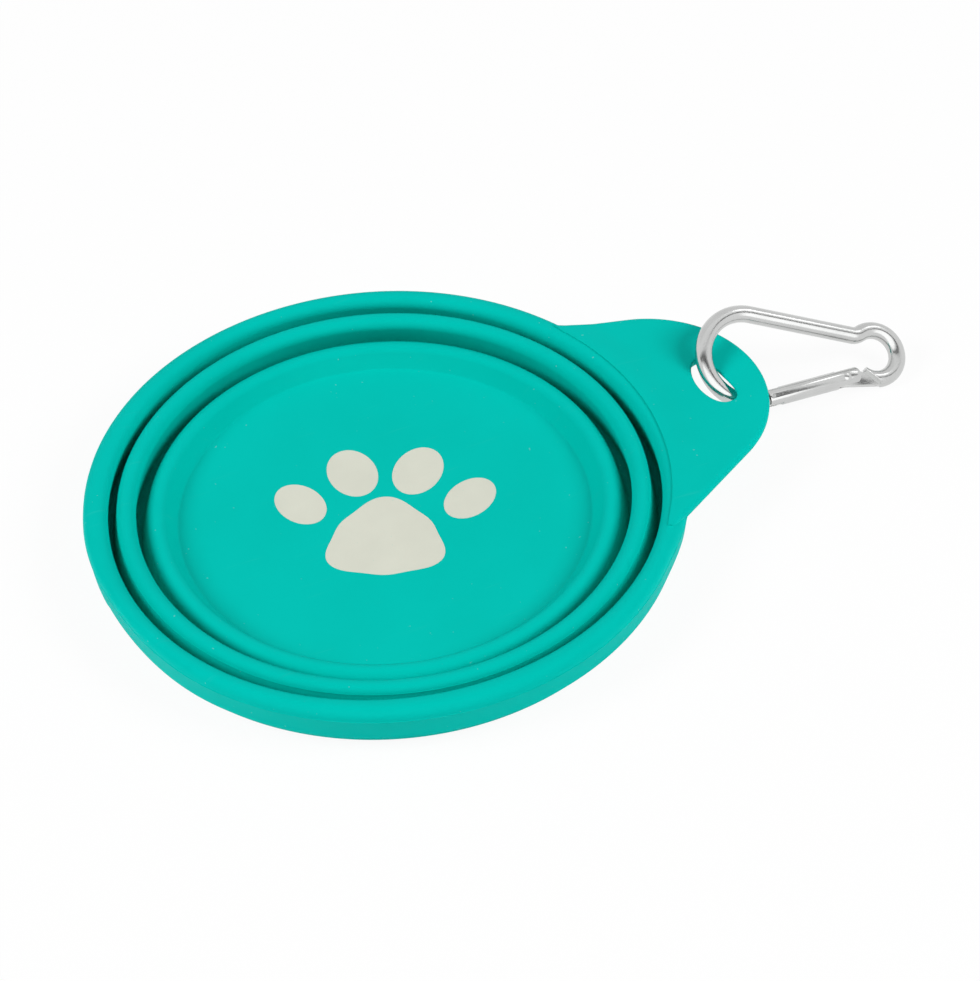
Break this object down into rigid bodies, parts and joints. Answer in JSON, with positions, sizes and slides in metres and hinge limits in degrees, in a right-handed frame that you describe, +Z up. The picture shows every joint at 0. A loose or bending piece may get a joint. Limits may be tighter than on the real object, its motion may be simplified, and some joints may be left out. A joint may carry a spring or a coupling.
{
  "type": "collapsible travel bowl",
  "caption": "Round folding silicone bowl with stepped rings, lying folded flat, and a wire snap hook hanging through the slot of its rim tab.",
  "frame": {"origin": "middle of the base's flat underside, on the bowl's axis", "axes": "+X from the bowl's axis along the tab to the hook, +Z up out of the dish, +Y completes a right-handed frame"},
  "size_m": [0.1932, 0.13, 0.0204],
  "materials": {
    "silicone": "matte moulded silicone",
    "steel": "bright plated",
    "spring_steel": "drawn wire"
  },
  "bodies": {
    "base": {"base_cup": "silicone", "lower_fold_web": "silicone"},
    "middle_ring": {"middle_band": "silicone", "upper_fold_web": "silicone"},
    "rim": {"rim_and_tab": "silicone"},
    "hook": {"hook_wire": "steel"},
    "gate": {"hook_gate": "steel", "gate_rivet": "steel", "latch_pin": "steel", "gate_spring": "spring_steel"},
    "plunger": {"gate_plunger": "steel"}
  },
  "joints": [
    {"name": "lower_fold", "type": "slide", "parent": "base", "child": "middle_ring", "axis": [0, 0, 1], "range_m": [0, 0.0128], "deforming": ["lower_fold_web"]},
    {"name": "upper_fold", "type": "slide", "parent": "middle_ring", "child": "rim", "axis": [0, 0, 1], "range_m": [0, 0.0194], "deforming": ["upper_fold_web"]},
    {"name": "hook_swing", "type": "hinge", "parent": "rim", "child": "hook", "pos_m": [0.0855, -0.002, 0.0125], "axis": [0, 1, 0], "range_deg": [-15, 75]},
    {"name": "gate_hinge", "type": "hinge", "parent": "hook", "child": "gate", "pos_m": [0.11116, -0.00517, 0.00436], "axis": [-0.1052, 0.5592, -0.8224], "range_deg": [0, 35], "stiffness_Nm_per_rad": 0.03, "springref_deg": -22.92},
    {"name": "plunger_slide", "type": "slide", "parent": "gate", "child": "plunger", "axis": [-0.9937, -0.0262, 0.1093], "range_m": [0, 0.0005]}
  ],
  "couplings": [
    {"joint": "plunger_slide", "follows": "gate_hinge", "m_per_rad": 0.00081843}
  ]
}
